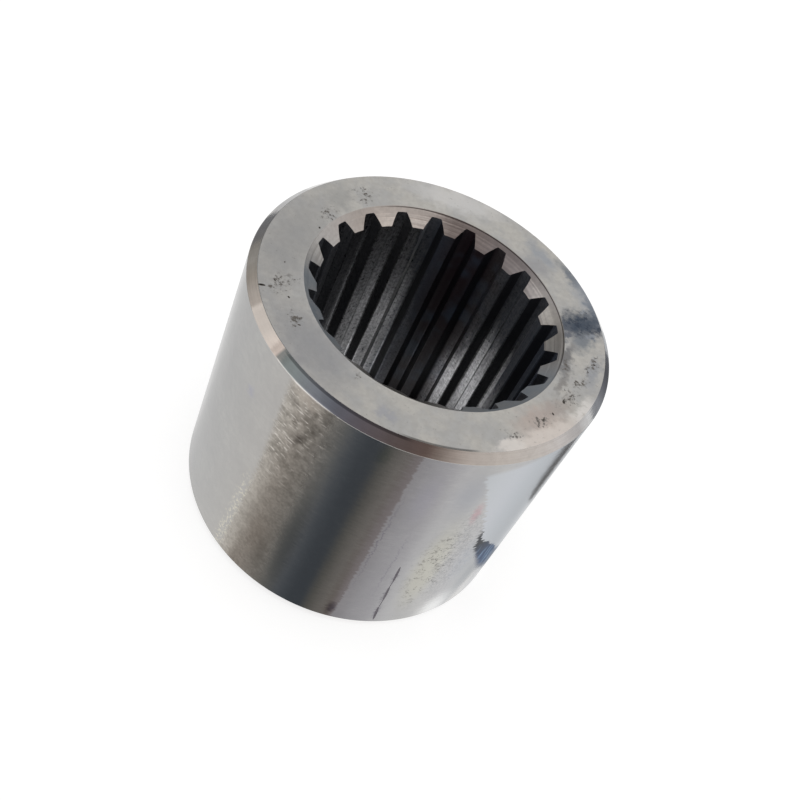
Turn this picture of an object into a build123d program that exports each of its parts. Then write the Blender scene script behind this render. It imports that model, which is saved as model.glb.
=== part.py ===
from build123d import *
from math import acos, cos, pi, radians, sin, tan
import os

# An internally splined coupling sleeve: one turned steel ring with an involute spline broached
# through its bore, a chamfer round each outer edge and a conical lead-in at each mouth of the bore.
# It stands on one end face. +Z runs along the bore, and the origin is the centre of the lower face.

# Driving dimensions of the ring, in millimetres
sleeve_length = 54.0
wall_behind_roots = 10.0
edge_chamfer = 1.5

# Driving dimensions of the spline, in millimetres and degrees
tooth_count = 21
module_size = 2.0
pressure_angle = 30.0
root_fillet = 0.3

# The spline's standard proportions, in modules: the profile is shifted outwards by the first, and
# the tips stand inside the shifted pitch line, and the roots outside it, by the other two
shift_in_modules = 0.2
tip_height_in_modules = 0.45
root_depth_in_modules = 0.55

# Driving dimensions of the lead-in, in millimetres and degrees
lead_in_land = 0.85
lead_in_slope = 40.0

# Radii of the spline, out from its axis
pitch_radius = module_size * tooth_count / 2
base_radius = pitch_radius * cos(radians(pressure_angle))
profile_shift = shift_in_modules * module_size
tip_radius = pitch_radius + profile_shift - tip_height_in_modules * module_size
root_radius = pitch_radius + profile_shift + root_depth_in_modules * module_size
outer_radius = root_radius + wall_behind_roots

# What cuts the tooth spaces and the lead-in reaches this far inside the tooth tips
cutter_reach = 1.0
cutter_radius = tip_radius - cutter_reach

# The lead-in's cone starts on the end face, a land's width outside the roots
mouth_radius = root_radius + lead_in_land
cone_depth = (mouth_radius - cutter_radius) * tan(radians(lead_in_slope))

# A flank is a smooth curve through this many points of the involute
flank_points = 5


def involute_angle(pressure):
    """The angle that an involute has turned through where its pressure angle is this, in radians."""
    return tan(pressure) - pressure


def space_half_angle(radius):
    """Half the angle that a tooth space takes up at a radius, in radians."""
    half_width = pi * module_size / 4 + profile_shift * tan(radians(pressure_angle))
    at_pitch = half_width / pitch_radius + involute_angle(radians(pressure_angle))
    return at_pitch - involute_angle(acos(base_radius / radius))


def point_at(radius, angle):
    """A point of the sketch, from its radius and its angle from the X axis in radians."""
    return radius * cos(angle), radius * sin(angle)


def flank(side):
    """One flank of the tooth space along the sketch's X axis, from the tooth tips out to the root."""
    step = (root_radius - tip_radius) / (flank_points - 1)
    radii = [tip_radius + i * step for i in range(flank_points)]
    return [point_at(radius, side * space_half_angle(radius)) for radius in radii]


# One tooth space, closed by a short throat that lies inside the open bore. Its root corners are
# rounded as far as the root's width allows
throat_half_angle = space_half_angle(tip_radius)
root_half_width = root_radius * sin(space_half_angle(root_radius))
root_corner = min(root_fillet, root_half_width)

with BuildSketch() as tooth_space:
    with BuildLine() as space_outline:
        low_flank = Spline(*flank(-1))
        high_flank = Spline(*flank(1))
        ThreePointArc(low_flank @ 1, (root_radius, 0), high_flank @ 1)
        Polyline(
            low_flank @ 0,
            point_at(cutter_radius, -throat_half_angle),
            point_at(cutter_radius, throat_half_angle),
            high_flank @ 0,
        )
    make_face()
    root_corners = tooth_space.vertices().sort_by(Axis.X)[-2:]
    fillet(root_corners, root_corner)

with BuildPart() as sleeve:
    # The turned blank, with its outer edges chamfered
    with BuildSketch() as blank_section:
        Circle(outer_radius)
    extrude(amount=sleeve_length)
    chamfer(sleeve.edges().filter_by(GeomType.CIRCLE), length=edge_chamfer)

    # The bore and its tooth spaces, the first of them centred on +Y
    with BuildSketch() as bore_section:
        Circle(tip_radius)
        with PolarLocations(0, tooth_count, start_angle=90):
            add(tooth_space.sketch)
    extrude(amount=sleeve_length, mode=Mode.SUBTRACT)

    # The lead-in cones, drawn for the upper mouth and mirrored about the middle of the sleeve
    half_length = sleeve_length / 2
    section_plane = Plane(origin=(0, 0, half_length), x_dir=(1, 0, 0), z_dir=(0, -1, 0))
    with BuildSketch(section_plane) as lead_in_section:
        with BuildLine() as cone_outline:
            Polyline(
                (cutter_radius, half_length),
                (mouth_radius, half_length),
                (cutter_radius, half_length - cone_depth),
                close=True,
            )
        make_face()
        mirror(about=Plane.XZ)
    revolve(axis=Axis.Z, mode=Mode.SUBTRACT)

sleeve.part.label = "splined_sleeve"

os.makedirs("parts", exist_ok=True)
export_step(sleeve.part, "parts/splined_sleeve.step")
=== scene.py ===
import bpy
import math
from functools import partial
from mathutils import Matrix, Vector


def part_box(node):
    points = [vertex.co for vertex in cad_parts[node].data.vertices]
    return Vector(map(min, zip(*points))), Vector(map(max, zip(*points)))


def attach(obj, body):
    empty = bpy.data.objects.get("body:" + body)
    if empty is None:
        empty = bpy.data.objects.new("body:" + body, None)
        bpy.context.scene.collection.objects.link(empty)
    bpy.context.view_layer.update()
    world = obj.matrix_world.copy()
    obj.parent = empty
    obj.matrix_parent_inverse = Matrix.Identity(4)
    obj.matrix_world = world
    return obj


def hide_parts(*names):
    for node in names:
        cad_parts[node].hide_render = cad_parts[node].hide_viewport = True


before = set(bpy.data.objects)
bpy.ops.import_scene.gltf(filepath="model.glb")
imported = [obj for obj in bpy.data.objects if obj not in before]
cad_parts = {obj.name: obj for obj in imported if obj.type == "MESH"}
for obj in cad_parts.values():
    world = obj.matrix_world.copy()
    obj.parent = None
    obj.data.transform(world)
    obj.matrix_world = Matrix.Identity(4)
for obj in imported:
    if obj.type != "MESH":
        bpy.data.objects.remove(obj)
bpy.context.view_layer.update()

# A coupling sleeve: one turned steel ring with an involute spline broached through its bore.
# +Z runs along the bore, the sleeve stands on the floor at z = 0, and a tooth space faces +Y.
# An azimuth is in degrees from -Y, which faces the camera, and grows towards +X.

mm = 0.001
noiseRoughness = 0.6
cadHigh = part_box("splined_sleeve")[1]


def linearColour(hexText):  # sRGB hex to the linear colour that shaders take
    parts = [int(hexText[i:i + 2], 16) / 255 for i in (0, 2, 4)]
    return [c / 12.92 if c <= 0.04045 else ((c + 0.055) / 1.055) ** 2.4 for c in parts] + [1.0]


def wire(socket, source):  # to a node, to one of a node's sockets, or to a plain value
    if isinstance(source, bpy.types.Node):
        source = next(output for output in source.outputs if output.enabled)
    if isinstance(source, bpy.types.NodeSocket):
        socket.id_data.links.new(source, socket)
    elif source is not None:
        socket.default_value = source


def addNode(tree, kind, *sources, **settings):
    # The kind may name an operation, an interpolation or a data type after a space. Sources fill the
    # node's sockets in order. A setting with a capital letter names a socket
    kind, *modes = kind.split()
    node = tree.nodes.new(kind if "Node" in kind else "ShaderNode" + kind)
    for mode in modes:
        names = ("operation", "interpolation_type", "data_type")
        setattr(node, next(name for name in names if hasattr(node, name)), mode)
    wired = {name.replace("_", " "): settings.pop(name) for name in list(settings) if name[0].isupper()}
    for name, value in settings.items():
        setattr(node, name, value)
    live = [socket for socket in node.inputs if socket.enabled]
    for socket, source in zip(live, sources):
        wire(socket, source)
    for name, source in wired.items():
        wire(next(socket for socket in live if socket.name == name), source)
    return node


def placed(azimuth, radius, height):  # a point of the sleeve in metres, from degrees and millimetres
    turn = math.radians(azimuth)
    return Vector((radius * math.sin(turn), -radius * math.cos(turn), height)) * mm


def toward(azimuth, elevation):  # the direction at these angles
    turn, rise = math.radians(azimuth), math.radians(elevation)
    return Vector((math.sin(turn) * math.cos(rise), -math.cos(turn) * math.cos(rise), math.sin(rise)))


def linked(name, data):  # a new object in the scene
    item = bpy.data.objects.new(name, data)
    bpy.context.scene.collection.objects.link(item)
    return item


# The sleeve's sizes in millimetres and degrees. The turned ring's size comes from the frame
sleeve = {
    "teeth": 21,
    "module": 2.0,
    "pressureAngle": 30.0,
    "profileShift": 0.4,
    "tipHeight": 0.9,
    "rootDepth": 1.1,
    "leadInLand": 0.85,
    "leadInSlope": 40.0,
    "edgeChamfer": 1.5,
    "rootFillet": 0.3,
    "tipRound": 0.15,
    "edgeRound": 0.18,
    "landSteps": 5,
    "flankSteps": 6,
    "roundSteps": 3,
    "mergeWithin": 0.001,
    "sharpFrom": 25.0,
    "uprightTilt": 0.5,
}
outerRadius = cadHigh[0] / mm
sleeveLength = cadHigh[2] / mm
faceRadius = outerRadius - sleeve["edgeChamfer"]
pitchRadius = sleeve["module"] * sleeve["teeth"] / 2
tipRadius = pitchRadius + sleeve["profileShift"] - sleeve["tipHeight"]
rootRadius = pitchRadius + sleeve["profileShift"] + sleeve["rootDepth"]
mouthRadius = rootRadius + sleeve["leadInLand"]


def baseHalfAngle():  # half a tooth space's angle, carried in along the involute to the base circle
    pressure = math.radians(sleeve["pressureAngle"])
    halfWidth = math.pi * sleeve["module"] / 4 + sleeve["profileShift"] * math.tan(pressure)
    return halfWidth / pitchRadius + math.tan(pressure) - pressure


# Small damage that the steel shows: azimuth, radius or height, length, width, depth and turn
damage = {
    "face": [
        (-60.3, 30.5, 1.3, 0.46, 0.20, 86),
        (-55.6, 26.4, 0.50, 0.34, 0.05, 20),
        (-63.0, 28.2, 0.42, 0.28, 0.05, 50),
        (-42.9, 26.6, 0.55, 0.30, 0.05, 60),
        (-72.6, 26.6, 0.32, 0.26, 0.04, 0),
        (-98.7, 23.9, 0.50, 0.36, 0.10, 40),
        (-108.7, 24.6, 0.34, 0.26, 0.07, 10),
        (71.5, 27.0, 0.85, 0.48, 0.09, 30),
        (63.4, 27.4, 0.60, 0.34, 0.06, 70),
        (57.9, 27.4, 0.45, 0.30, 0.05, 15),
        (43.0, 28.6, 0.38, 0.24, 0.06, 0),
        (91.6, 28.1, 0.34, 0.24, 0.06, 45),
        (96.2, 29.0, 0.42, 0.28, 0.07, 80),
    ],
    "wall": [
        (26.45, 18.9, 5.4, 0.44, 0.06, 4),
        (26.75, 15.6, 3.2, 0.16, 0.03, 0),
        (27.05, 12.1, 5.4, 0.44, 0.06, 4),
        (27.40, 8.5, 3.2, 0.16, 0.03, 0),
        (27.75, 4.7, 5.0, 0.50, 0.07, 6),
    ],
}


def damagePoints():  # one point for each mark, with the size and turn of what cuts it
    spots, sizes, turns = [], [], []
    for azimuth, radius, length, width, depth, turn in damage["face"]:
        spots.append(placed(azimuth, radius, sleeveLength))
        sizes.append((length / 2, width / 2, depth))
        turns.append((0, 0, math.radians(azimuth + turn)))
    for azimuth, height, length, width, depth, turn in damage["wall"]:
        spots.append(placed(azimuth, outerRadius, height))
        sizes.append((depth, width / 2, length / 2))
        facing = Matrix.Rotation(math.radians(azimuth - 90), 3, "Z")
        turns.append((facing @ Matrix.Rotation(math.radians(turn), 3, "X")).to_euler())
    mesh = bpy.data.meshes.new("damagePoints")
    mesh.from_pydata(spots, [], [])
    for name, values in (("size", sizes), ("turn", turns)):
        attribute = mesh.attributes.new(name, "FLOAT_VECTOR", "POINT")
        attribute.data.foreach_set("vector", [number for value in values for number in value])
    return linked("damagePoints", mesh)


# The inputs of the sleeve's node tree, by the kind of socket, in metres and radians
sleeveInputs = {
    "Int": {
        "Teeth": sleeve["teeth"],
        "Land Steps": sleeve["landSteps"],
        "Flank Steps": sleeve["flankSteps"],
        "Round Steps": sleeve["roundSteps"],
    },
    "Float": {
        "Base Half Angle": baseHalfAngle(),
        "Base Radius": pitchRadius * math.cos(math.radians(sleeve["pressureAngle"])) * mm,
        "Tip Radius": tipRadius * mm,
        "Root Radius": rootRadius * mm,
        "Mouth Radius": mouthRadius * mm,
        "Outer Radius": outerRadius * mm,
        "Length": sleeveLength * mm,
        "Lead-in Slope": math.tan(math.radians(sleeve["leadInSlope"])),
        "Edge Chamfer": sleeve["edgeChamfer"] * mm,
        "Root Fillet": sleeve["rootFillet"] * mm,
        "Tip Round": sleeve["tipRound"] * mm,
        "Edge Round": sleeve["edgeRound"] * mm,
    },
    "Object": {"Damage Points": None},
    "Material": dict.fromkeys(
        ("Wall Finish", "End Finish", "Edge Finish", "Lead-in Finish", "Bore Finish", "Pit Finish")),
}


def splineOutline(add, size):
    # The spline's outline across the bore. Each pitch runs from one space's middle to the next
    index = add("GeometryNodeInputIndex")
    quarter = add("Math MULTIPLY_ADD", size["Land Steps"], 2, size["Flank Steps"])
    perPitch = add("Math MULTIPLY", quarter, 2)
    inPitch = add("Math MODULO", index, perPitch)
    fromTooth = add("Math SUBTRACT", inPitch, quarter)
    stepsOut = add("Math ABSOLUTE", fromTooth)
    flankEnd = add("Math ADD", size["Land Steps"], size["Flank Steps"])
    radius = add("MapRange", stepsOut, size["Land Steps"], flankEnd, size["Tip Radius"], size["Root Radius"])

    # Half the space's angle at this radius, by the involute
    cosine = add("Math DIVIDE", size["Base Radius"], radius)
    pressure = add("Math ARCCOSINE", cosine)
    tangent = add("Math TANGENT", pressure)
    involute = add("Math SUBTRACT", tangent, pressure)
    onFlank = add("Math SUBTRACT", size["Base Half Angle"], involute)

    # On the tip's land it grows to half a pitch, and on the root's land it shrinks to nothing
    halfPitch = add("Math DIVIDE", math.pi, size["Teeth"])
    outward = add("MapRange", stepsOut, 0, size["Land Steps"], halfPitch, onFlank)
    rootShare = add("MapRange", stepsOut, flankEnd, quarter, 1, 0)
    fromSpace = add("Math MULTIPLY", outward, rootShare)

    # The second half of a pitch is measured back from the next space
    past = add("Math GREATER_THAN", inPitch, quarter)
    side = add("MapRange", past, 0, 1, 1, -1)
    pitchNumber = add("Math FLOOR", add("Math DIVIDE", index, perPitch))
    space = add("Math ADD", pitchNumber, past)
    spaceTwice = add("Math MULTIPLY", space, 2)
    spaceAngle = add("Math MULTIPLY_ADD", spaceTwice, halfPitch, math.pi / 2)
    angle = add("Math MULTIPLY_ADD", fromSpace, side, spaceAngle)
    across = add("VectorRotate", (1, 0, 0), Angle=angle, rotation_type="Z_AXIS")
    spot = add("VectorMath SCALE", across, Scale=radius)

    points = add("Math MULTIPLY", size["Teeth"], perPitch)
    circle = add("GeometryNodeCurvePrimitiveCircle", points)
    outline = add("GeometryNodeSetPosition", circle, Position=spot)
    atTip = add("Math COMPARE", stepsOut, size["Land Steps"], 0.1)
    atRoot = add("Math COMPARE", stepsOut, flankEnd, 0.1)
    tipRound = add("Math MULTIPLY", atTip, size["Tip Round"])
    rounding = add("Math MULTIPLY_ADD", atRoot, size["Root Fillet"], tipRound)
    return add("GeometryNodeFilletCurve", outline, size["Round Steps"], rounding, mode="POLY")


def turnedSection(add, size):
    # The ring's section through a tooth tip: eight corners, with the upper four mirrored below
    corners = 8
    index = add("GeometryNodeInputIndex")
    mirrored = add("FunctionNodeIntegerMath SUBTRACT", corners - 1, index)
    corner = add("FunctionNodeIntegerMath MINIMUM", index, mirrored)
    leadIn = add("Math SUBTRACT", size["Mouth Radius"], size["Tip Radius"])
    leadInDepth = add("Math MULTIPLY", leadIn, size["Lead-in Slope"])
    faceEdge = add("Math SUBTRACT", size["Outer Radius"], size["Edge Chamfer"])
    radii = (size["Tip Radius"], size["Mouth Radius"], faceEdge, size["Outer Radius"])
    drops = (leadInDepth, 0, 0, size["Edge Chamfer"])
    picked = []
    for values in (radii, drops):
        switch = add("GeometryNodeIndexSwitch FLOAT")
        while len(switch.index_switch_items) < len(values):
            switch.index_switch_items.new()
        for socket, value in zip(switch.inputs, (corner, *values)):
            wire(socket, value)
        picked.append(switch)
    radius, drop = picked
    upper = add("Math LESS_THAN", index, (corners - 1) / 2)
    upperHeight = add("Math SUBTRACT", size["Length"], drop)
    height = add("MapRange", upper, 0, 1, drop, upperHeight)
    spot = add("CombineXYZ", radius, 0, height)
    circle = add("GeometryNodeCurvePrimitiveCircle", corners)
    section = add("GeometryNodeSetPosition", circle, Position=spot)
    return add("GeometryNodeFilletCurve", section, size["Round Steps"], size["Edge Round"], mode="POLY")


def sleeveTree():
    tree = bpy.data.node_groups.new("splinedSleeve", "GeometryNodeTree")
    tree.interface.new_socket("Geometry", in_out="OUTPUT", socket_type="NodeSocketGeometry")
    for kind, inputs in sleeveInputs.items():
        for name in inputs:
            tree.interface.new_socket(name, in_out="INPUT", socket_type="NodeSocket" + kind)
    add = partial(addNode, tree)
    size = add("NodeGroupInput").outputs
    outline = splineOutline(add, size)
    section = turnedSection(add, size)

    # A grid with a column for each point of the outline and a row for each point of the section
    curves = (outline, section)
    counts = [add("GeometryNodeAttributeDomainSize", curve, component="CURVE") for curve in curves]
    closing = [add("FunctionNodeIntegerMath ADD", count, 1) for count in counts]
    grid = add("GeometryNodeMeshGrid", 1, 1, *closing)
    index = add("GeometryNodeInputIndex")
    column = add("FunctionNodeIntegerMath DIVIDE_FLOOR", index, closing[1])
    row = add("FunctionNodeIntegerMath MODULO", index, closing[1])
    position = add("GeometryNodeInputPosition")
    samples = []
    for curve, line, count in ((outline, column, counts[0]), (section, row, counts[1])):
        wrapped = add("FunctionNodeIntegerMath MODULO", line, count)
        samples.append(add("GeometryNodeSampleIndex FLOAT_VECTOR", curve, position, wrapped))
    across, along = samples

    # Inside the mouth the section follows the outline: a deeper root moves its point up the cone
    profileRadius = add("VectorMath LENGTH", across).outputs["Value"]
    reach = add("Math SUBTRACT", profileRadius, size["Tip Radius"])
    sectionSpot = add("SeparateXYZ", along).outputs
    follow = add("MapRange", sectionSpot["X"], size["Mouth Radius"], size["Tip Radius"], 0, 1)
    outward = add("Math MULTIPLY", follow, reach)
    radius = add("Math ADD", sectionSpot["X"], outward)
    middle = add("Math DIVIDE", size["Length"], 2)
    upper = add("Math GREATER_THAN", sectionSpot["Z"], middle)
    climb = add("Math MULTIPLY", outward, size["Lead-in Slope"])
    direction = add("MapRange", upper, 0, 1, -1, 1)
    height = add("Math MULTIPLY_ADD", climb, direction, sectionSpot["Z"])
    heading = add("VectorMath NORMALIZE", across)
    level = add("VectorMath SCALE", heading, Scale=radius)
    lifted = add("VectorMath ADD", level, add("CombineXYZ", Z=height))
    shaped = add("GeometryNodeSetPosition", grid, Position=lifted)
    ring = add("GeometryNodeMergeByDistance", shaped, Distance=sleeve["mergeWithin"] * mm)
    ring = add("GeometryNodeFlipFaces", ring)

    # Ground wall, turned ends, chamfers and lead-ins
    flat = add("VectorMath MULTIPLY", position, (1, 1, 0))
    fromAxis = add("VectorMath LENGTH", flat).outputs["Value"]
    inside = add("FunctionNodeCompare LESS_THAN", fromAxis, size["Mouth Radius"])
    faceEdge = add("Math SUBTRACT", size["Outer Radius"], size["Edge Chamfer"])
    atEdge = add("FunctionNodeCompare GREATER_THAN", fromAxis, faceEdge)
    normal = add("SeparateXYZ", add("GeometryNodeInputNormal")).outputs["Z"]
    tilt = add("Math ABSOLUTE", normal)
    upright = add("FunctionNodeCompare LESS_THAN", tilt, sleeve["uprightTilt"])
    ring = add("GeometryNodeSetMaterial", ring, Material=size["End Finish"])
    ring = add("GeometryNodeSetMaterial", ring, atEdge, size["Edge Finish"])
    ring = add("GeometryNodeSetMaterial", ring, inside, size["Lead-in Finish"])
    ring = add("GeometryNodeSetMaterial", ring, upright, size["Wall Finish"])
    broached = add("FunctionNodeBooleanMath AND", inside, upright)
    ring = add("GeometryNodeSetMaterial", ring, broached, size["Bore Finish"])

    # Pits, a nick and a score, cut by flattened balls
    marks = add("GeometryNodeObjectInfo", size["Damage Points"]).outputs["Geometry"]
    ball = add("GeometryNodeMeshIcoSphere", 1 * mm, 3)
    ball = add("GeometryNodeSetMaterial", ball, Material=size["Pit Finish"])
    ballSize = add("GeometryNodeInputNamedAttribute FLOAT_VECTOR", "size")
    ballTurn = add("GeometryNodeInputNamedAttribute FLOAT_VECTOR", "turn")
    cutters = add("GeometryNodeInstanceOnPoints", marks, Instance=ball, Rotation=ballTurn, Scale=ballSize)
    worn = add("GeometryNodeMeshBoolean DIFFERENCE", ring, cutters, solver="EXACT")

    # Smooth shading, with sharp rims round the pits
    smooth = add("GeometryNodeSetShadeSmooth", worn, None, True, domain="FACE")
    edgeAngle = add("GeometryNodeInputMeshEdgeAngle")
    rim = add("FunctionNodeCompare GREATER_THAN", edgeAngle, math.radians(sleeve["sharpFrom"]))
    smooth = add("GeometryNodeSetShadeSmooth", smooth, rim, False, domain="EDGE")
    whole = add("GeometryNodeRealizeInstances", smooth)
    add("NodeGroupOutput", whole)
    return tree


def evenNormals(mesh, pits):
    # The turned faces shade as one smooth surface, however wide or narrow each of them is. A face
    # inside the mouth is the bore's if its normal rises less than this, and none may lean sideways
    leastRise, mostSideways = 0.7, 0.05
    normals = [corner.vector.copy() for corner in mesh.corner_normals]
    turned, leans = [], {}
    for face in mesh.polygons:
        outward = Vector((face.center.x, face.center.y, 0))
        radius = outward.length / mm
        outward.normalize()
        sideways = abs(face.normal.cross(outward).z)
        inBore = radius < mouthRadius and abs(face.normal.z) < leastRise
        if sideways < mostSideways and not inBore and mesh.materials[face.material_index] is not pits:
            turned.append(face)
            lean = Vector((face.normal.dot(outward), face.normal.z)) * face.area
            for vertex in face.vertices:
                leans[vertex] = leans.get(vertex, Vector((0, 0))) + lean
    for face in turned:
        for loop, vertex in zip(face.loop_indices, face.vertices):
            outward = mesh.vertices[vertex].co * Vector((1, 1, 0))
            lean = leans[vertex].normalized()
            normals[loop] = outward.normalized() * lean.x + Vector((0, 0, lean.y))
    mesh.normals_split_custom_set(normals)


def makeSleeve(finishes):
    tree = sleeveTree()
    points = damagePoints()
    holder = linked("sleeveHolder", bpy.data.meshes.new("sleeveHolder"))
    modifier = holder.modifiers.new("splinedSleeve", "NODES")
    modifier.node_group = tree
    given = {name: value for inputs in sleeveInputs.values() for name, value in inputs.items()}
    given.update(finishes, **{"Damage Points": points})
    for socket in tree.interface.items_tree:
        if socket.in_out == "INPUT":
            modifier[socket.identifier] = given[socket.name]
    weighted = holder.modifiers.new("evenNormals", "WEIGHTED_NORMAL")
    weighted.keep_sharp = True
    evaluated = holder.evaluated_get(bpy.context.evaluated_depsgraph_get())
    mesh = bpy.data.meshes.new_from_object(evaluated)
    while mesh.materials[0] is None:
        mesh.materials.pop(index=0)
    evenNormals(mesh, finishes["Pit Finish"])
    piece = linked("steel_sleeve", mesh)
    for helper in (holder, points):
        bpy.data.objects.remove(helper)
    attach(piece, "root")
    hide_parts("splined_sleeve")
    print("sleeve:", len(mesh.vertices), "vertices,", len(mesh.polygons), "faces")


def emptyMaterial(name):  # with the function that adds a node to it
    material = bpy.data.materials.new(name)
    material.use_nodes = True
    material.node_tree.nodes.clear()
    return material, partial(addNode, material.node_tree)


def sleeveSpot(add):
    # A point in millimetres, with its azimuth in degrees, its radius and its height
    inMetres = add("TexCoord").outputs["Object"]
    spot = add("VectorMath SCALE", inMetres, Scale=1 / mm)
    part = add("SeparateXYZ", spot).outputs
    toCamera = add("Math MULTIPLY", part["Y"], -1)
    turn = add("Math ARCTAN2", part["X"], toCamera)
    azimuth = add("Math DEGREES", turn)
    flat = add("VectorMath MULTIPLY", spot, (1, 1, 0))
    radius = add("VectorMath LENGTH", flat).outputs["Value"]
    return spot, azimuth, radius, part["Z"]


def blotches(add, spot, size, low, high, detail=2.0, stretch=(1, 1, 1)):
    # Soft blotches of about this size in millimetres, drawn out by stretch: 0 below low, 1 above high
    scaled = add("VectorMath MULTIPLY", spot, [1 / (size * s) for s in stretch])
    noise = add("TexNoise", scaled, 1.0, detail, noiseRoughness)
    return add("MapRange SMOOTHSTEP", noise, low, high)


def oval(add, spot, centre, halfSize, turn, softness):
    # A soft oval patch, endless along Z: 1 within it, and 0 outside
    endless = 1e6
    turned = (0, 0, math.radians(turn))
    local = add("Mapping", spot, (*centre, 0), turned, (*halfSize, endless), vector_type="TEXTURE")
    away = add("VectorMath LENGTH", local).outputs["Value"]
    return add("MapRange SMOOTHSTEP", away, 1, 1 - softness)


def between(add, value, low, high, softness):
    # A soft band: 1 between low and high, and 0 outside
    rise = add("MapRange SMOOTHSTEP", value, low - softness, low + softness)
    fall = add("MapRange SMOOTHSTEP", value, high + softness, high - softness)
    return add("Math MULTIPLY", rise, fall)


def shaken(add, spot, size, reach, stretch=(1, 1, 1)):
    # The spot moved about at random by up to this reach, for ragged edges
    scaled = add("VectorMath MULTIPLY", spot, [1 / (size * s) for s in stretch])
    noise = add("TexNoise", scaled, 1.0, 3.0, noiseRoughness).outputs["Color"]
    middle = add("VectorMath SUBTRACT", noise, (0.5, 0.5, 0.5))
    return add("VectorMath SCALE", middle, Scale=reach * 2)


def swayed(add, spot, size, tilt, stretch):
    # The surface normal, swayed to and fro along the circumference by up to this tilt
    around = add("VectorMath CROSS_PRODUCT", (0, 0, 1), spot)
    around = add("VectorMath NORMALIZE", around)
    scaled = add("VectorMath MULTIPLY", spot, [1 / (size * s) for s in stretch])
    noise = add("TexNoise", scaled, 1.0, 2.0, noiseRoughness)
    amount = add("MapRange", noise, 0.2, 0.8, -tilt, tilt)
    sway = add("VectorMath SCALE", around, Scale=amount)
    normal = add("NewGeometry").outputs["Normal"]
    leaning = add("VectorMath ADD", normal, sway)
    return add("VectorMath NORMALIZE", leaning)


def traced(add, value, points):
    # A drawn line as a node: from x to y through these points
    low, high, top = points[0][0], points[-1][0], max(y for x, y in points)
    node = add("FloatCurve", Value=add("MapRange", value, low, high))
    curve = node.mapping.curves[0]
    while len(curve.points) < len(points):
        curve.points.new(0.5, 0.5)
    for point, (x, y) in zip(curve.points, points):
        point.location = ((x - low) / (high - low), y / top)
        point.handle_type = "VECTOR"
    node.mapping.update()
    return add("Math MULTIPLY", node, top)


def ramped(add, value, stops):
    # Colours as a node: each stop is a value and the colour there
    low, high = stops[0][0], stops[-1][0]
    ramp = add("ValToRGB", add("MapRange", value, low, high))
    marks = ramp.color_ramp.elements
    while len(marks) < len(stops):
        marks.new(0.5)
    for mark, (at, hexText) in zip(marks, stops):
        mark.position = (at - low) / (high - low)
        mark.color = linearColour(hexText)
    return ramp


def outlined(add, noise, wide, narrow):
    # Thin lines where a noise crosses its middle
    crossing = add("Math ABSOLUTE", add("Math SUBTRACT", noise, 0.5))
    return add("MapRange SMOOTHSTEP", crossing, wide, narrow)


def coated(add, under, over, *shares):
    # One colour over another, as thickly as the product of the shares
    share = shares[0]
    for other in shares[1:]:
        share = add("Math MULTIPLY", share, other)
    under, over = (linearColour(colour) if isinstance(colour, str) else colour for colour in (under, over))
    return add("Mix RGBA", share, under, over)


def patched(add, colour, spot, patches, softness):
    # Soft ovals over a colour: middle, half size, turn, colour and strength of each
    for x, y, halfWidth, halfHeight, turn, hexText, strength in patches:
        patch = oval(add, spot, (x, y), (halfWidth, halfHeight), turn, softness)
        colour = coated(add, colour, hexText, patch, strength)
    return colour


def finishSteel(add, colour, roughness, heights, depth, normal=None, metallic=1.0):
    # Steel with this colour and roughness, and a relief this many millimetres deep
    relief = add("Bump", 1.0, depth * mm, Height=heights, Normal=normal)
    shader = add("BsdfPrincipled", Base_Color=colour, Metallic=metallic, Roughness=roughness, Normal=relief)
    add("OutputMaterial", shader)


# Alloy steel, ground on a cylindrical grinder: even fine rings, a clean mirror of the floor, and a worn band
wallFinish = {
    "steel": "C6C5C3",
    "cloud": "BEBDBC",
    "ring": "C0BFBE",
    "mottle": "A6A6A8",
    "roughness": 0.17,
    "wornFrom": -27.4,
    "wornTo": -9.5,
    "wornLean": 3.0,
    "wornSteel": "D8D4CE",
    "wornDark": "928E88",
    "wornRoughness": 0.30,
    "backRoughness": 0.34,
    "dull": "A6A09D",
    "scratch": "F6F2EC",
    "crumb": "EEEAD8",
    "paintedEdgeHighlight": "FAF8F6",
    "cream": "D2CFBE",
    "creamPatch": ((35.5, 21.0), (7.0, 18.0), 0, 0.7),
    "crack": "706C66",
    "crackPatch": ((37.5, 21.0), (9.5, 19.0), 0, 0.6),
    "speckle": "B0B4BA",
    "specklePatch": ((49.0, 21.0), (6.5, 11.0), 12, 0.8),
    "pebble": "7C7F84",
    "pebblePatch": ((43.0, 24.0), (9.0, 22.0), 10, 0.6),
    "stainLine": [
        (30, 54), (34.5, 48.8), (39.5, 42.6), (43.6, 37.2), (46.6, 32.5), (50, 27.6), (55, 24.4),
        (60, 21.8), (66, 18), (70, 15.5), (76, 12),
    ],
    "stainDark": "262C34",
    "stainBlue": "2C4E7C",
    "stainPale": "8AAACC",
    "stainRoughness": 0.5,
    "polished": "C8CBCF",
    "relief": 0.012,
}

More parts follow.
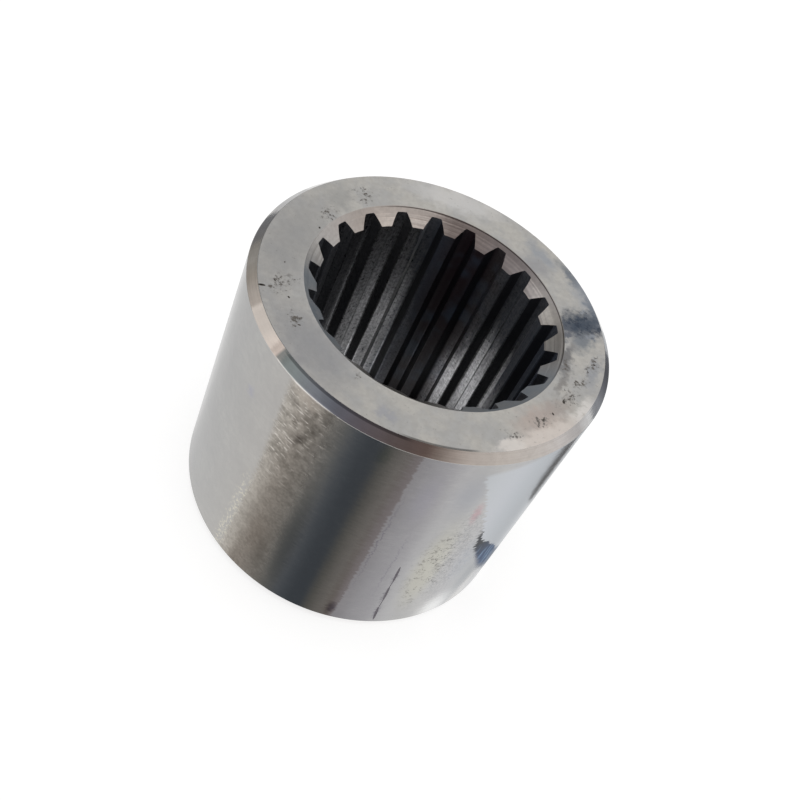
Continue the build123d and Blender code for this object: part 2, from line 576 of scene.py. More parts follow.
# Patches on the wall: azimuth, height, half width in degrees, half height, turn, colour and strength
wallPatches = [
    (-20.0, 51.5, 8.0, 2.6, 0, "E6E0D8", 0.7),
    (-18.4, 42.6, 3.0, 1.6, 30, "5A5450", 0.75),
    (-21.6, 45.2, 1.7, 1.4, 0, "6E675F", 0.65),
    (-15.2, 46.0, 1.9, 1.8, 0, "6E6A64", 0.65),
    (-16.8, 50.0, 1.3, 0.9, 0, "7A746C", 0.5),
    (-18.0, 14.0, 6.0, 9.0, 0, "A0958B", 0.3),
    (-9.0, 17.0, 4.5, 24.0, 0, "6E7478", 0.6),
    (-16.0, 10.0, 3.5, 8.0, 0, "8A8680", 0.45),
    (34.0, 44.0, 8.0, 9.0, 0, "ACAEB4", 0.65),
    (40.0, 38.0, 2.3, 4.6, 15, "C2A2A6", 0.75),
    (-40.0, 41.0, 2.6, 2.0, 0, "B4B4C2", 0.6),
    (12.6, 4.4, 2.4, 3.0, 0, "5A525C", 0.8),
    (4.5, 50.0, 3.0, 3.5, 0, "8E9A90", 0.45),
    (21.0, 42.0, 5.0, 9.0, 0, "BDBBC4", 0.4),
    (15.4, 28.0, 0.35, 20.0, 0, "8A8692", 0.5),
    (22.9, 22.0, 0.30, 16.0, 0, "9A96A0", 0.5),
    # Painted reflection: white low on the right, where the wall mirrors the pale floor
    (50.0, 3.0, 9.0, 8.0, 0, "FFFFFC", 0.85),
    (57.0, 13.0, 5.0, 8.0, 0, "A6A8AC", 0.6),
    (67.5, 8.0, 7.0, 11.0, 0, "7E8288", 0.9),
    (26.5, 18.0, 0.8, 3.6, 0, "8E8A90", 0.6),
    (26.9, 11.5, 1.0, 4.0, 0, "8A868C", 0.6),
    (27.5, 5.5, 1.2, 3.4, 0, "86828A", 0.65),
]


def groundSteel():
    finish = wallFinish
    material, add = emptyMaterial("groundSteel")
    spot, azimuth, _, height = sleeveSpot(add)
    unrolled = add("CombineXYZ", azimuth, height, 0)
    ragged = add("VectorMath ADD", unrolled, shaken(add, spot, 0.9, 1.6, (2, 2, 0.6)))
    raggedTurn = add("SeparateXYZ", ragged).outputs["X"]

    # Clouds over the whole wall, and the stone's fine rings
    clouds = blotches(add, spot, 9.0, 0.35, 0.65, 4.0)
    rings = blotches(add, spot, 0.28, 0.3, 0.7, 2.0, (9, 9, 1))
    colour = coated(add, finish["cloud"], finish["steel"], clouds)
    colour = coated(add, finish["ring"], colour, rings)
    colour = coated(add, colour, finish["mottle"], blotches(add, spot, 1.3, 0.3, 0.7, 3.0), 0.14)

    # The worn band: a brown grain, coarser towards its top and calmer towards its foot
    lean = add("MapRange", height, 26, 0, 0, finish["wornLean"])
    wornTurn = add("Math ADD", raggedTurn, lean)
    start = add("MapRange SMOOTHSTEP", wornTurn, finish["wornFrom"] - 1.4, finish["wornFrom"] + 1.4)
    stop = add("MapRange SMOOTHSTEP", raggedTurn, finish["wornTo"] + 4, finish["wornTo"] - 6)
    worn = add("Math MULTIPLY", start, stop)
    fine = blotches(add, spot, 0.6, 0.36, 0.66, 5.0)
    coarse = blotches(add, spot, 2.6, 0.32, 0.68, 4.0)
    grain = add("Mix", add("MapRange", height, 22, 44, 0.4, 0.7), fine, coarse)
    grain = add("Mix", add("MapRange", height, 24, 42, 0.5, 0.0), grain, 0.5)
    colour = coated(add, colour, coated(add, finish["wornDark"], finish["wornSteel"], grain), worn)

    # The dull band beside the dark one ends in ragged purplish streaks
    streaky = add("VectorMath ADD", unrolled, shaken(add, spot, 0.7, 3.4, (5, 5, 0.9)))
    streakyTurn = add("SeparateXYZ", streaky).outputs["X"]
    edgeTurn = add("Math DIVIDE", add("Math ADD", streakyTurn, azimuth), 2)
    colour = coated(add, colour, finish["dull"], add("MapRange", edgeTurn, 9.5, 12.8),
                    add("MapRange", edgeTurn, 14.5, 13.9))
    colour = patched(add, colour, ragged, wallPatches, 0.9)

    # Bright scratches along the rings, near the top of the worn band
    scratched = add("Math MULTIPLY", worn, add("MapRange", height, 24, 44, 0.1, 1.2))
    scratched = add("Math MULTIPLY", scratched, add("MapRange", raggedTurn, -15, -24, 0.5, 1.2))
    lines = blotches(add, spot, 0.36, 0.61, 0.67, 1.5, (5, 5, 0.8))
    scratches = add("Math MULTIPLY", lines, scratched)
    colour = coated(add, colour, finish["scratch"], scratches)

    # Cream specks at the foot of the worn band's left edge, and a painted highlight along the wall's top
    # edge above it
    crumbs = blotches(add, spot, 0.5, 0.52, 0.6, 3.0)
    colour = coated(add, colour, finish["crumb"], crumbs, between(add, wornTurn, -31, -27, 1.2),
                    add("MapRange", height, 28, 20), 0.6)
    top = sleeveLength - sleeve["edgeChamfer"]
    colour = coated(add, colour, finish["paintedEdgeHighlight"], between(add, height, top - 0.22, top + 1, 0.1),
                    between(add, azimuth, -27, -14, 2))

    # A creamy patch to the right, with a crackle of short lines drawn out round the wall
    colour = coated(add, colour, finish["cream"], oval(add, ragged, *finish["creamPatch"]), 0.55)
    drawnOut = add("VectorMath MULTIPLY", spot, (0.62, 0.62, 1.4))
    ticks = outlined(add, add("TexNoise", drawnOut, 0.9, 4.0, 0.65), 0.026, 0.006)
    ticks = add("Math MULTIPLY", ticks, blotches(add, spot, 1.6, 0.46, 0.56, 2.0))
    cracks = add("Math MULTIPLY", ticks, oval(add, unrolled, *finish["crackPatch"]))
    colour = coated(add, colour, finish["crack"], cracks)

    # Greyish blue speckle between the cream and the run stain, with pebbled outlines
    colour = coated(add, colour, finish["speckle"], oval(add, ragged, *finish["specklePatch"]),
                    add("Math MULTIPLY_ADD", fine, 0.5, 0.25))
    pebbles = outlined(add, add("TexNoise", spot, 1.0, 3.0, noiseRoughness), 0.05, 0.005)
    colour = coated(add, colour, finish["pebble"], pebbles, oval(add, ragged, *finish["pebblePatch"]), 0.45)

    # The run stain crosses the right side downwards, with a cleaner, bluer surface above it
    above = add("Math SUBTRACT", height, traced(add, streakyTurn, finish["stainLine"]))
    drop = add("Math MULTIPLY_ADD", azimuth, -0.15, height)
    colour = coated(add, colour, finish["polished"], add("MapRange SMOOTHSTEP", above, -0.3, 1.0),
                    add("MapRange", azimuth, 33, 36), add("MapRange", drop, 45.0, 43.8),
                    add("MapRange", azimuth, 80, 70))
    below = add("Math DIVIDE", above, add("MapRange", azimuth, 44, 60, -0.9, -8.6))
    share = add("Math MAXIMUM", below, add("Math DIVIDE", above, 0.6))
    stained = add("MapRange SMOOTHSTEP", share, 1.0, 0.6)
    stained = add("Math MULTIPLY", stained, between(add, streakyTurn, 47.6, 80, 1.2))
    stained = add("Math MULTIPLY", stained, add("MapRange", azimuth, 78, 64))
    blue = add("MapRange", add("Math SUBTRACT", azimuth, above), 52, 62)
    stain = coated(add, finish["stainDark"], finish["stainBlue"], blue)
    streaks = blotches(add, spot, 0.5, 0.5, 0.62, 1.0, (1, 1, 10))
    stain = coated(add, stain, finish["stainPale"], streaks, blue)
    colour = coated(add, colour, stain, stained)

    # The worn band, the stain and the back are rougher. The relief holds the rings, the worn grain, the
    # scratches and the cracks
    roughness = add("MapRange", worn, 0, 1, finish["roughness"], finish["wornRoughness"])
    roughness = add("MapRange", stained, 0, 1, roughness, finish["stainRoughness"])
    rougher = finish["backRoughness"] - finish["roughness"]
    rougher = add("MapRange", add("Math ABSOLUTE", azimuth), 72, 110, 0, rougher)
    roughness = add("Math ADD", roughness, rougher)
    relief = add("Math MULTIPLY_ADD", rings, 0.15, add("Math MULTIPLY", grain, worn))
    relief = add("Math MULTIPLY_ADD", scratches, -1.5, relief)
    relief = add("Math MULTIPLY_ADD", cracks, -1.0, relief)
    bare = add("Math MULTIPLY_ADD", scratches, -0.6, add("Math SUBTRACT", 1, stained))
    normal = swayed(add, spot, 0.4, 0.022, (5, 5, 1))
    finishSteel(add, colour, roughness, relief, finish["relief"], normal, bare)
    return material


# The same steel, faced on a lathe: faint concentric lines under a dull, mottled skin with oil stains
faceFinish = {
    "steel": "CAC7C1",
    "coolSteel": "BDBCBA",
    "mottle": "B0ADA8",
    "roughness": 0.36,
    "lineSpacing": 0.35,
    "soot": "3A4250",
    "sootPatch": ((25.2, 12.0), (6.5, 4.6), 30, 0.6),
    "speck": "75706A",
    "halo": "8C8986",
    "rim": "4A4644",
    "rimWidth": 0.32,
    "relief": 0.012,
}

# Stains on the face: x, y, half length, half width, turn, colour and strength
faceStains = [
    (-26.5, -2.0, 20.0, 8.0, 90, "A6A5A4", 0.75),
    (-15.0, -22.0, 15.0, 7.5, -36, "A2A2A4", 0.8),
    (-5.0, 28.0, 14.0, 5.0, 12, "E0DEDC", 0.75),
    (-23.5, 13.5, 5.0, 3.5, 120, "9E9E9D", 0.55),
    (24.5, -17.5, 13.0, 3.2, 55, "E6DCD4", 0.85),
    (0.3, -28.2, 2.4, 1.6, 0, "A4A6B0", 0.5),
    (13.6, 20.8, 5.0, 3.0, -33, "A0A0A4", 0.6),
    (20.6, 22.4, 6.0, 2.0, -42, "6E7682", 0.8),
    (13.5, 24.5, 5.5, 2.6, -28, "9CA2AC", 0.6),
    (29.0, 1.5, 7.0, 1.8, 88, "9A9EA6", 0.6),
    (25.2, 18.0, 4.4, 1.8, 125, "666E7A", 0.8),
    (29.4, -8.5, 5.0, 1.6, 76, "F0ECE8", 0.7),
    (19.8, -23.0, 5.0, 1.8, 40, "EEE8E2", 0.7),
    (25.8, 7.4, 4.4, 2.8, 75, "747C86", 0.75),
    (24.0, 1.0, 7.0, 1.7, 91, "6E6E72", 0.8),
    (24.4, -5.0, 3.5, 1.2, 80, "8A8684", 0.7),
    (24.5, 19.5, 7.0, 5.0, 130, "A2A8B2", 0.5),
    (27.2, 14.4, 4.6, 3.0, 115, "6C7684", 0.8),
    (22.8, 9.6, 4.0, 3.4, 60, "555D6B", 0.85),
    (25.0, 11.8, 5.8, 4.4, 27, "4A5462", 0.95),
    (27.0, 9.5, 1.2, 0.8, 20, "9CA2AC", 0.6),
    (24.2, 14.6, 1.4, 0.7, 60, "98A0AC", 0.6),
    (22.2, 6.4, 2.4, 1.2, 70, "5E6470", 0.8),
    (22.5, -14.5, 8.0, 3.5, 55, "C4B2A8", 0.6),
    (25.0, -10.5, 5.0, 3.0, 65, "B0A6A0", 0.5),
]

# Clusters of dark specks on the face: x, y, half length, half width and turn
speckClusters = [
    (-23.6, 8.2, 3.6, 2.2, 60), (-24.0, -12.5, 4.8, 2.8, 65), (-19.0, -18.5, 4.0, 2.4, -50),
    (-21.5, 3.4, 1.6, 1.2, 0), (26.2, -7.5, 4.6, 1.8, 62), (23.0, -15.0, 4.0, 1.8, 62),
    (28.8, 3.0, 6.0, 1.6, 80), (19.5, -20.5, 2.8, 1.6, 30), (27.6, -2.5, 3.6, 1.7, 70),
    (-6.5, -23.8, 1.6, 0.9, 15), (-20.0, 17.0, 3.0, 3.0, 0), (24.1, 0.0, 6.0, 1.3, 90),
]


def turnedSteel():
    finish = faceFinish
    material, add = emptyMaterial("turnedSteel")
    spot, azimuth, radius, _ = sleeveSpot(add)
    part = add("SeparateXYZ", spot).outputs
    turned = add("CombineXYZ", part["X"], part["Y"], radius)
    clouds = blotches(add, spot, 5.0, 0.38, 0.62, 6.0)
    mottle = blotches(add, spot, 1.1, 0.3, 0.7, 4.0)
    lines = blotches(add, turned, finish["lineSpacing"], 0.3, 0.7, 2.0, (40, 40, 1))
    colour = coated(add, finish["coolSteel"], finish["steel"], clouds)
    colour = coated(add, colour, finish["mottle"], mottle, 0.35)

    # Oil stains with ragged edges, soot in the darkest one, and clusters of dark specks
    flat = add("VectorMath MULTIPLY", spot, (1, 1, 0))
    ragged = add("VectorMath ADD", flat, shaken(add, spot, 2.0, 2.4))
    colour = patched(add, colour, ragged, faceStains, 0.8)
    soot = blotches(add, spot, 0.8, 0.5, 0.62, 4.0)
    colour = coated(add, colour, finish["soot"], soot, oval(add, ragged, *finish["sootPatch"]), 0.7)
    crowd = 0
    for x, y, length, width, turn in speckClusters:
        crowd = add("Math MAXIMUM", crowd, oval(add, ragged, (x, y), (length, width), turn, 0.9))
    need = add("MapRange", crowd, 0, 1, 0.76, 0.53)
    over = add("Math SUBTRACT", add("TexNoise", spot, 1.9, 3.0, noiseRoughness), need)
    specks = add("MapRange SMOOTHSTEP", over, -0.01, 0.08)
    colour = coated(add, colour, finish["halo"], add("MapRange SMOOTHSTEP", over, -0.13, 0.02, 0, 0.6))
    colour = coated(add, colour, finish["speck"], specks)

    # A painted dark reflection where the front of the face meets its chamfer
    rim = between(add, radius, faceRadius - finish["rimWidth"], outerRadius - 1, 0.08)
    colour = coated(add, colour, finish["rim"], rim, between(add, azimuth, 7, 29, 3), 0.7)
    roughness = add("MapRange", mottle, 0, 1, finish["roughness"] - 0.04, finish["roughness"] + 0.05)
    relief = add("Math MULTIPLY_ADD", lines, 0.5, mottle)
    relief = add("Math MULTIPLY_ADD", specks, -3, relief)
    finishSteel(add, colour, roughness, relief, finish["relief"])
    return material


# The outer chamfers: the same lathe finish with a finer feed, tanned to the left and greyed by oil at the
# front. The tones go by azimuth, and besides the tan and oil they hold painted reflection, lighter and
# darker by azimuth
chamferFinish = {
    "tones": [
        (-125, "BAB6B2"), (-108, "8E8E8E"), (-100, "8A8A8A"), (-93, "B2B0AE"), (-79, "BEB8B2"),
        (-72, "D8D2CC"), (-65, "D4CAC0"), (-58, "BEB8B2"), (-51, "A6A19C"), (-44, "A6A19C"),
        (-39, "B8B0AA"), (-35.9, "D6CCC6"), (-35.2, "888C8C"), (-31, "B0B4B4"), (-16, "B0B2B6"),
        (-6, "BAB4B8"), (6, "C4BAB6"), (18, "C0B8B2"), (28, "BFBAB5"), (47, "C6C4C2"), (58, "CECCCC"),
        (68, "BEBCBC"), (75, "ECECEC"), (82, "F2F2F4"), (89, "A6A6AC"), (96, "54565F"), (103, "505260"),
        (110, "70747A"), (125, "BAB6B2"),
    ],
    "dull": "8E8884",
    "roughness": 0.09,
    "rimWidth": 0.34,
    "rim": "3C3A3E",
    "edgeWidth": 0.12,
    "edge": "FAF8F6",
    "relief": 0.002,
}


def chamferedSteel():
    finish = chamferFinish
    material, add = emptyMaterial("chamferedSteel")
    spot, azimuth, radius, height = sleeveSpot(add)
    clouds = blotches(add, spot, 1.6, 0.35, 0.65, 4.0)
    lines = blotches(add, add("CombineXYZ", radius, height, 0), 0.3, 0.35, 0.65, 1.0)
    colour = ramped(add, azimuth, finish["tones"])
    colour = coated(add, colour, finish["dull"], clouds, 0.14)
    colour = coated(add, colour, finish["dull"], lines, 0.12)

    # A painted dark reflection along the inner rim at the front, and a painted highlight along the outer
    # edge
    rim = between(add, radius, 0, faceRadius + finish["rimWidth"], 0.06)
    colour = coated(add, colour, finish["rim"], rim, between(add, azimuth, -34, 9, 2), 0.55)
    edge = between(add, radius, outerRadius - finish["edgeWidth"], outerRadius + 1, 0.06)
    colour = coated(add, colour, finish["edge"], edge, between(add, azimuth, -35, -13, 2))
    finishSteel(add, colour, finish["roughness"], lines, finish["relief"])
    return material


# The lead-in cones: feed lines of a form tool, tanned brown at the back, and a matt dark film painted on the
# near side as shade. The tones go by azimuth, from 0 to 360
leadInFinish = {
    "tones": [
        (0, "C8C5C2"), (96, "A8A29E"), (108, "A8A09A"), (118, "E0D6CE"), (132, "F6ECE4"), (144, "DCD0C8"),
        (156, "CDC1BA"), (178, "CEC2BA"), (188, "C8BCB4"), (198, "F2E8E0"), (208, "E0D6CE"),
        (226, "D6CCC4"), (236, "B8B0AA"), (250, "BEB8B4"), (265, "C8C5C2"), (360, "C8C5C2"),
    ],
    "line": "7C726E",
    "mottle": "8A827E",
    "darkFilm": "6A7178",
    "mouth": "3E3836",
    "feed": 0.45,
    "roughness": 0.30,
    "relief": 0.02,
}


def leadInSteel():
    finish = leadInFinish
    material, add = emptyMaterial("leadInSteel")
    spot, azimuth, radius, _ = sleeveSpot(add)
    back = add("Math FLOORED_MODULO", azimuth, 360)
    part = add("SeparateXYZ", spot).outputs
    turned = add("CombineXYZ", part["X"], part["Y"], radius)
    feed = blotches(add, turned, finish["feed"], 0.35, 0.62, 1.0, (60, 60, 1))
    mottle = blotches(add, spot, 0.7, 0.35, 0.65, 3.0)
    tanned = add("MapRange", between(add, back, 92, 232, 14), 0, 1, 0.08, 0.35)
    colour = coated(add, ramped(add, back, finish["tones"]), finish["line"], feed, tanned)
    colour = coated(add, colour, finish["mottle"], mottle, 0.2)

    # The near side's film of painted shade, and a dark line along the mouth at the back
    film = add("MapRange", blotches(add, spot, 4.0, 0.35, 0.6, 4.0), 0, 1, 0.75, 0.98)
    near = add("Math MAXIMUM", between(add, azimuth, 24, 88, 12), between(add, azimuth, -80, -24, 12))
    film = add("Math MULTIPLY", film, near)
    colour = coated(add, colour, finish["darkFilm"], film)
    mouth = between(add, radius, mouthRadius - 0.22, mouthRadius - 0.06, 0.06)
    colour = coated(add, colour, finish["mouth"], mouth, between(add, back, 82, 222, 12), 0.85)
    metal = add("Math SUBTRACT", 1, film)
    finishSteel(add, colour, finish["roughness"], feed, finish["relief"], None, metal)
    return material


# The broached bore: long tool lines and a dark granular oxide, with its light and shade painted. The flanks
# are painted black as shade, and a dark film of painted shade covers the teeth at the back and thins
# downwards over painted lit strips. By azimuth from 0 to 360, the first list says how much painted light the
# steel shows, and the second at what height the painted shade has its foot
boreFinish = {
    "steel": "D2D2D4",
    "oxide": "A2A2A4",
    "line": "6A6A6E",
    "dot": "46464A",
    "paintedFlankShade": "14151A",
    "darkFilm": "323A48",
    "stain": "251B20",
    "roughness": 0.30,
    "relief": 0.01,
    "paintedLitShare": [
        (0, 0.15), (60, 0.15), (103, 0.3), (115, 0.55), (129, 1.0), (156, 1.0), (158, 0.45), (163, 0.35),
        (166, 0.05), (180, 0.03), (186, 0.2), (192, 0.22), (196, 0.6), (199, 1.0), (204, 1.0), (225, 1.0),
        (234, 0.6), (243, 0.45), (262, 0.25), (300, 0.15), (360, 0.15),
    ],
    "paintedShadeFoot": [
        (0, 30), (103, 32), (122, 31), (126, 37), (148, 37), (151, 31), (158, 28), (171, 20), (185, 20),
        (192, 40), (199, 43), (203, 45), (207, 64), (262, 64), (360, 60),
    ],
}


def broachedSteel():
    finish = boreFinish
    material, add = emptyMaterial("broachedSteel")
    spot, azimuth, radius, height = sleeveSpot(add)
    back = add("Math FLOORED_MODULO", azimuth, 360)
    grain = blotches(add, spot, 0.55, 0.35, 0.62, 4.0)
    lines = blotches(add, spot, 0.22, 0.35, 0.65, 2.0, (1, 1, 60))
    colour = coated(add, finish["oxide"], finish["steel"], grain)
    colour = coated(add, colour, finish["line"], lines, 0.35)
    colour = coated(add, colour, finish["dot"], blotches(add, spot, 0.7, 0.6, 0.74, 2.0))

    # How much painted light the steel shows: the painted shade's foot is ragged, and the flanks are painted
    # black as shade but for a few painted lit ones
    ragged = add("MapRange", blotches(add, spot, 1.2, 0.2, 0.8, 3.0, (1, 1, 4)), 0, 1, -4, 4)
    fromFoot = add("Math SUBTRACT", height, traced(add, back, finish["paintedShadeFoot"]))
    fromFoot = add("Math ADD", fromFoot, ragged)
    thin = add("MapRange SMOOTHSTEP", fromFoot, 5, -5, 0.22, 1)
    bare = add("Math MULTIPLY", traced(add, back, finish["paintedLitShare"]), thin)
    flank = between(add, radius, tipRadius + 0.24, rootRadius - 0.26, 0.1)
    litFlank = between(add, back, 199, 203.3, 0.3)
    worn = add("Math MAXIMUM", litFlank, add("Math MULTIPLY", between(add, back, 157, 161.5, 0.3), 0.6))
    worn = add("Math MAXIMUM", worn, add("Math MULTIPLY", between(add, back, 236, 262, 2), 0.25))
    shadedFlanks = add("Math MULTIPLY", flank, add("MapRange", worn, 0, 1, 0.93, 0))
    bare = add("Math MULTIPLY", bare, add("Math SUBTRACT", 1, shadedFlanks))

    # The painted shade's film is blue, and purplish brown in the middle of the back
    tint = blotches(add, spot, 6.0, 0.3, 0.55, 2.0)
    darkFilm = coated(add, finish["darkFilm"], finish["stain"], between(add, back, 152, 188, 8), tint)
    darkFilm = coated(add, darkFilm, finish["paintedFlankShade"], shadedFlanks)
    colour = coated(add, darkFilm, colour, bare)
    relief = add("Math ADD", lines, grain)
    metal = add("MapRange", bare, 0, 0.4, 0.15, 1)
    metal = add("Math MULTIPLY_ADD", add("Math MULTIPLY", litFlank, flank), -0.85, metal)
    finishSteel(add, colour, finish["roughness"], relief, finish["relief"], None, metal)
    return material


# Pits and scores: dark oxide, rough and dull, and greyer low on the wall
pitFinish = {
    "crust": "4A4643",
    "bare": "7A746E",
    "low": "86828A",
    "roughness": 0.6,
    "relief": 0.03,
}


def pittedSteel():
    finish = pitFinish
    material, add = emptyMaterial("pittedSteel")
    spot, _, _, height = sleeveSpot(add)
    crust = blotches(add, spot, 0.25, 0.35, 0.65, 2.0)
    low = add("MapRange", height, 40, 30)
    colour = coated(add, finish["crust"], finish["bare"], crust)
    colour = coated(add, colour, finish["low"], low)
    metal = add("MapRange", low, 0, 1, 1, 0.3)
    finishSteel(add, colour, finish["roughness"], crust, finish["relief"], None, metal)
    return material


makeSleeve({
    "Wall Finish": groundSteel(),
    "End Finish": turnedSteel(),
    "Edge Finish": chamferedSteel(),
    "Lead-in Finish": leadInSteel(),
    "Bore Finish": broachedSteel(),
    "Pit Finish": pittedSteel(),
})

# The camera stands where the photograph's did, tilted to one side. Millimetres and degrees
cameraView = {
    "aim": (2.052, 1.24, 27.0),
    "azimuth": -2.167,
    "elevation": 46.388,
    "roll": 27.651,
    "distance": 204.23,
    "lens": 49.05,
    "sensor": 36.0,
}


def makeCamera():
    data = bpy.data.cameras.new("camera")
    data.lens = cameraView["lens"]
    data.sensor_width = cameraView["sensor"]
    data.clip_start = 1 * mm
    camera = linked("camera", data)
    back = toward(cameraView["azimuth"], cameraView["elevation"])
    level = (-back).to_track_quat("-Z", "Y").to_matrix()
    rolled = level @ Matrix.Rotation(math.radians(cameraView["roll"]), 3, "Z")
    spot = (Vector(cameraView["aim"]) + back * cameraView["distance"]) * mm
    camera.matrix_world = Matrix.Translation(spot) @ rolled.to_4x4()
    bpy.context.scene.camera = camera
    print("camera at", [round(c / mm, 2) for c in spot])


makeCamera()

# The studio: a pale floor and world, two soft lamps, and cards that only the steel mirrors. The floor's half
# is in metres, and the rest in millimetres and degrees
studio = {
    "floorHalf": 3.0,
    "floorColour": "A6A6A6",
    "floorLift": 0.74,
    "horizonColour": "F3EDE8",
    "upperColour": "E2E2E2",
    "horizonTop": 33.0,
    "backColour": "A4A4A2",
    "frontColour": "B0ACA8",
    "frontAzimuth": 10.0,
    "backAzimuth": -160.0,
    "cardGap": 0.15,
    "fanReach": 150.0,
    "fanHalf": 150.0,
    "fanClear": 3.0,
    "clearFrom": 55.0,
    "clearOver": 20.0,
    "fanSteps": 48,
    "overheadHeight": 400.0,
}

# The fan lies on the floor before the sleeve: its tone, by the wall's azimuth that mirrors it
fanTones = [
    (-92, "FCFCFC"), (-74, "DADADA"), (-64, "D9D9D9"), (-52, "E0E0DF"), (-40, "E5E4E2"), (-29, "E7E5E2"),
    (-26.6, "E0DCD7"), (-25, "B1ABA6"), (-22, "AEA8A3"), (-16, "969390"), (-10, "7E7E7C"), (-6, "61656A"),
    (-4, "565B61"), (-1, "4B5056"), (3, "4A4F55"), (5.5, "64635F"), (8, "777470"), (12.4, "8C8783"),
    (13.8, "ACA9AD"), (17, "B1AFB3"), (20, "BDBCC0"), (26, "CBCACE"), (32, "E6E6E8"), (38, "E6E6E6"),
    (44, "F0F0F0"), (52, "EEEEF0"), (60, "DEE0E2"), (70, "CDCFD1"), (76, "D0D2D4"), (94, "FCFCFC"),
]

# The foot of the sleeve mirrors the ring of floor under its lower chamfer
footTones = [
    (-64, "8A8A8A"), (-26, "7A7672"), (-6, "3C3F44"), (4, "5A5856"), (13.5, "8A8684"), (14.5, "D0CED2"),
    (25, "F0F0F0"), (70, "FFFFFF"),
]

# The overhead card's outline, as shares of its height, and its tone from left to right
overheadOutline = [
    (-1.22, -0.41), (-1.36, -0.66), (-1.8, -1.5), (-1.25, -1.9), (0.8, -1.95), (1.75, -1.6), (1.6, -0.7),
    (0.3, -0.3), (0.0, 0.3), (-1.1, 1.1), (-2.2, 4.5), (-4.6, 3.5), (-1.95, 0.1),
]
overheadTones = [
    (-4.6, "74767A"), (-1.9, "7A7E84"), (-1.55, "BAC0BE"), (-1.1, "B8BEBE"), (-0.8, "AEB0B6"),
    (-0.5, "868890"), (-0.1, "7A767A"), (0.3, "6E6666"), (0.6, "7A6C68"), (0.78, "A8A09C"),
    (0.95, "CEC6C2"), (1.1, "E6E0DC"), (1.7, "F3EDE8"),
]

# The floor inside the bore, as the steel mirrors it: a faint glow, and pools of light at x and y, with the
# radius and strength of each
poolRest = 0.006
borePools = [(-10.5, 7.5, 11.5, 1.15), (15.5, 0.5, 13.5, 0.5), (0.0, 12.0, 8.5, 0.25)]

# Darker cards on the floor: tone, layer and outline. The strip to the right is mirrored near the wall's
# edge, and the floor far behind in the chamfer's rims
floorCards = {
    "sideStrip": ("5A5856", 2, [
        (68, 22), (65.6, 20.3), (59.7, 14.6), (53.4, 11.6), (49, 10.5), (46.5, 13.5), (49.7, 19),
        (53.8, 25.5), (58.3, 33.5), (66, 41),
    ]),
    "backFloor": ("8C8E92", 1, [
        (-2900, -500), (-260, 40), (-190, 190), (-60, 260), (80, 150), (130, 60), (2900, -500),
        (2900, 2900), (-2900, 2900),
    ]),
}


def stageMesh(name, corners, faces, material):
    mesh = bpy.data.meshes.new(name)
    mesh.from_pydata(corners, [], faces)
    mesh.materials.append(material)
    item = linked(name, mesh)
    return item


def makeFloor():
    half = studio["floorHalf"]
    material, add = emptyMaterial("paleFloor")
    rays = add("LightPath").outputs
    seen = add("Math MAXIMUM", rays["Is Camera Ray"], rays["Is Glossy Ray"])
    away = add("VectorMath LENGTH", add("TexCoord").outputs["Object"]).outputs["Value"]
    outside = add("Math GREATER_THAN", away, faceRadius * mm)
    lift = add("Math MULTIPLY", add("Math MULTIPLY", seen, outside), studio["floorLift"])
    matt = add("BsdfDiffuse", linearColour(studio["floorColour"]))
    add("OutputMaterial", add("AddShader", matt, add("Emission", Strength=lift)))
    corners = [(-half, -half, 0), (half, -half, 0), (half, half, 0), (-half, half, 0)]
    stageMesh("floor", corners, [(0, 1, 2, 3)], material)


def mirroredMesh(name, corners, faces, material):
    card = stageMesh(name, corners, faces, material)
    card.visible_camera = False
    card.visible_diffuse = False
    card.visible_shadow = False


def toneCard(name, corners, faces, tones, along):
    # A card that glows with its own tone, so that it mirrors as written, and lights nothing
    material, add = emptyMaterial(name)
    spot = add("TexCoord").outputs["Object"]
    part = add("SeparateXYZ", spot).outputs
    if along == "azimuth":
        turn = add("Math ARCTAN2", part["X"], add("Math MULTIPLY", part["Y"], -1))
        fromCamera = add("Math SUBTRACT", add("Math DEGREES", turn), cameraView["azimuth"])
        away = add("VectorMath LENGTH", spot).outputs["Value"]
        spread = add("Math SUBTRACT", 2, add("Math DIVIDE", outerRadius * mm, away))
        onWall = add("Math DIVIDE", fromCamera, spread)
        place = add("Math ADD", onWall, cameraView["azimuth"])
    else:
        place = add("Math DIVIDE", part["X"], studio["overheadHeight"] * mm)
    add("OutputMaterial", add("Emission", ramped(add, place, tones)))
    mirroredMesh(name, corners, faces, material)


def makePools():
    material, add = emptyMaterial("borePools")
    spot = add("TexCoord").outputs["Object"]
    glow = poolRest
    for x, y, radius, strength in borePools:
        away = add("VectorMath DISTANCE", spot, (x * mm, y * mm, 0)).outputs["Value"]
        pool = add("MapRange SMOOTHSTEP", away, radius * mm, radius * mm / 2)
        glow = add("Math MULTIPLY_ADD", pool, strength, glow)
    add("OutputMaterial", add("Emission", Strength=glow))
    steps, gap = studio["fanSteps"], studio["cardGap"]
    corners = [placed(360 * i / steps, tipRadius - gap, gap) for i in range(steps)]
    mirroredMesh("borePools", corners, [tuple(range(steps))], material)


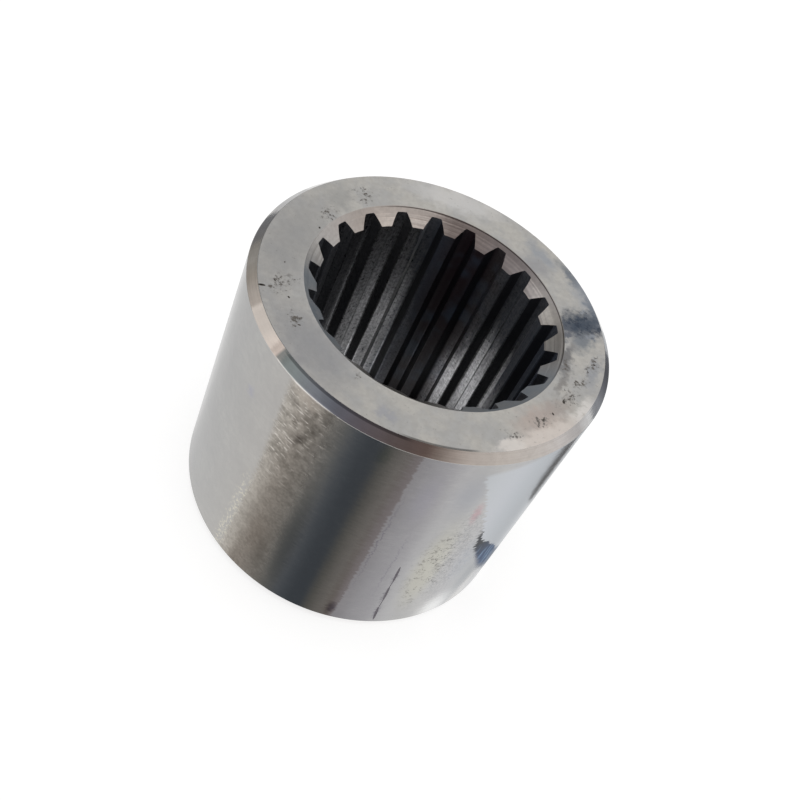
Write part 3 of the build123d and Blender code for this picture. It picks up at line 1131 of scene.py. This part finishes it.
def makeCards():
    steps, gap = studio["fanSteps"], studio["cardGap"]
    rings = (
        ("floorFan", fanTones, outerRadius, studio["fanReach"], studio["fanClear"]),
        ("footRing", footTones, faceRadius, outerRadius, 0),
    )
    for name, tones, near, far, clear in rings:
        corners = []
        for i in range(steps + 1):
            azimuth = studio["fanHalf"] * (2 * i / steps - 1)
            cleared = min(max((azimuth - studio["clearFrom"]) / studio["clearOver"], 0), 1)
            corners += [placed(azimuth, near + clear * cleared, gap), placed(azimuth, far, gap)]
        faces = [(2 * i, 2 * i + 1, 2 * i + 3, 2 * i + 2) for i in range(steps)]
        toneCard(name, corners, faces, tones, "azimuth")
    height = studio["overheadHeight"]
    corners = [Vector((x * height, y * height, height)) * mm for x, y in overheadOutline]
    toneCard("overheadCard", corners, [tuple(range(len(corners)))], overheadTones, "across")
    for name, (hexText, layer, outline) in floorCards.items():
        corners = [Vector((x, y, gap * layer)) * mm for x, y in outline]
        toneCard(name, corners, [tuple(range(len(corners)))], [(-1, hexText), (1, hexText)], "across")
    makePools()


def makeWorld():
    world = bpy.data.worlds.new("studio")
    bpy.context.scene.world = world
    world.use_nodes = True
    world.node_tree.nodes.clear()
    add = partial(addNode, world.node_tree)
    heading = add("TexCoord").outputs["Generated"]
    part = add("SeparateXYZ", heading).outputs
    top = math.sin(math.radians(studio["horizonTop"]))
    upper = add("MapRange SMOOTHSTEP", part["Z"], top - 0.06, top + 0.06)
    upper = add("Math MAXIMUM", upper, add("MapRange SMOOTHSTEP", part["Y"], 0.0, 0.6))
    sky = coated(add, studio["horizonColour"], studio["upperColour"], upper)
    backLeft = add("VectorMath DOT_PRODUCT", heading, toward(studio["backAzimuth"], 0)).outputs["Value"]
    sky = coated(add, sky, studio["backColour"], add("MapRange SMOOTHSTEP", part["Z"], 0.34, 0.14),
                 add("MapRange SMOOTHSTEP", backLeft, 0.1, 0.6))
    facing = add("VectorMath DOT_PRODUCT", heading, toward(studio["frontAzimuth"], 0)).outputs["Value"]
    sky = coated(add, sky, studio["frontColour"], add("MapRange SMOOTHSTEP", facing, 0.76, 0.84))
    white = (1, 1, 1, 1)
    seen = add("Mix RGBA", add("LightPath").outputs["Is Camera Ray"], sky, white)
    add("OutputWorld", add("Background", seen))


# Soft lamps: azimuth, elevation and distance of each, its size in metres and its power in watts
lamps = {
    "keyLamp": (-20, 86, 1.2, 0.5, 1.5),
    "fillLamp": (-82, 22, 1.2, 0.5, 0.35),
}


def makeLamps():
    for name, (azimuth, elevation, distance, size, power) in lamps.items():
        data = bpy.data.lights.new(name, "AREA")
        data.shape = "DISK"
        data.size = size
        data.energy = power
        lamp = linked(name, data)
        away = toward(azimuth, elevation)
        lamp.location = away * distance
        lamp.rotation_euler = away.to_track_quat("Z", "Y").to_euler()
    print("studio: floor, world, cards and", len(lamps), "lamps")


makeFloor()
makeCards()
makeWorld()
makeLamps()

bpy.context.scene.view_settings.view_transform = "Standard"
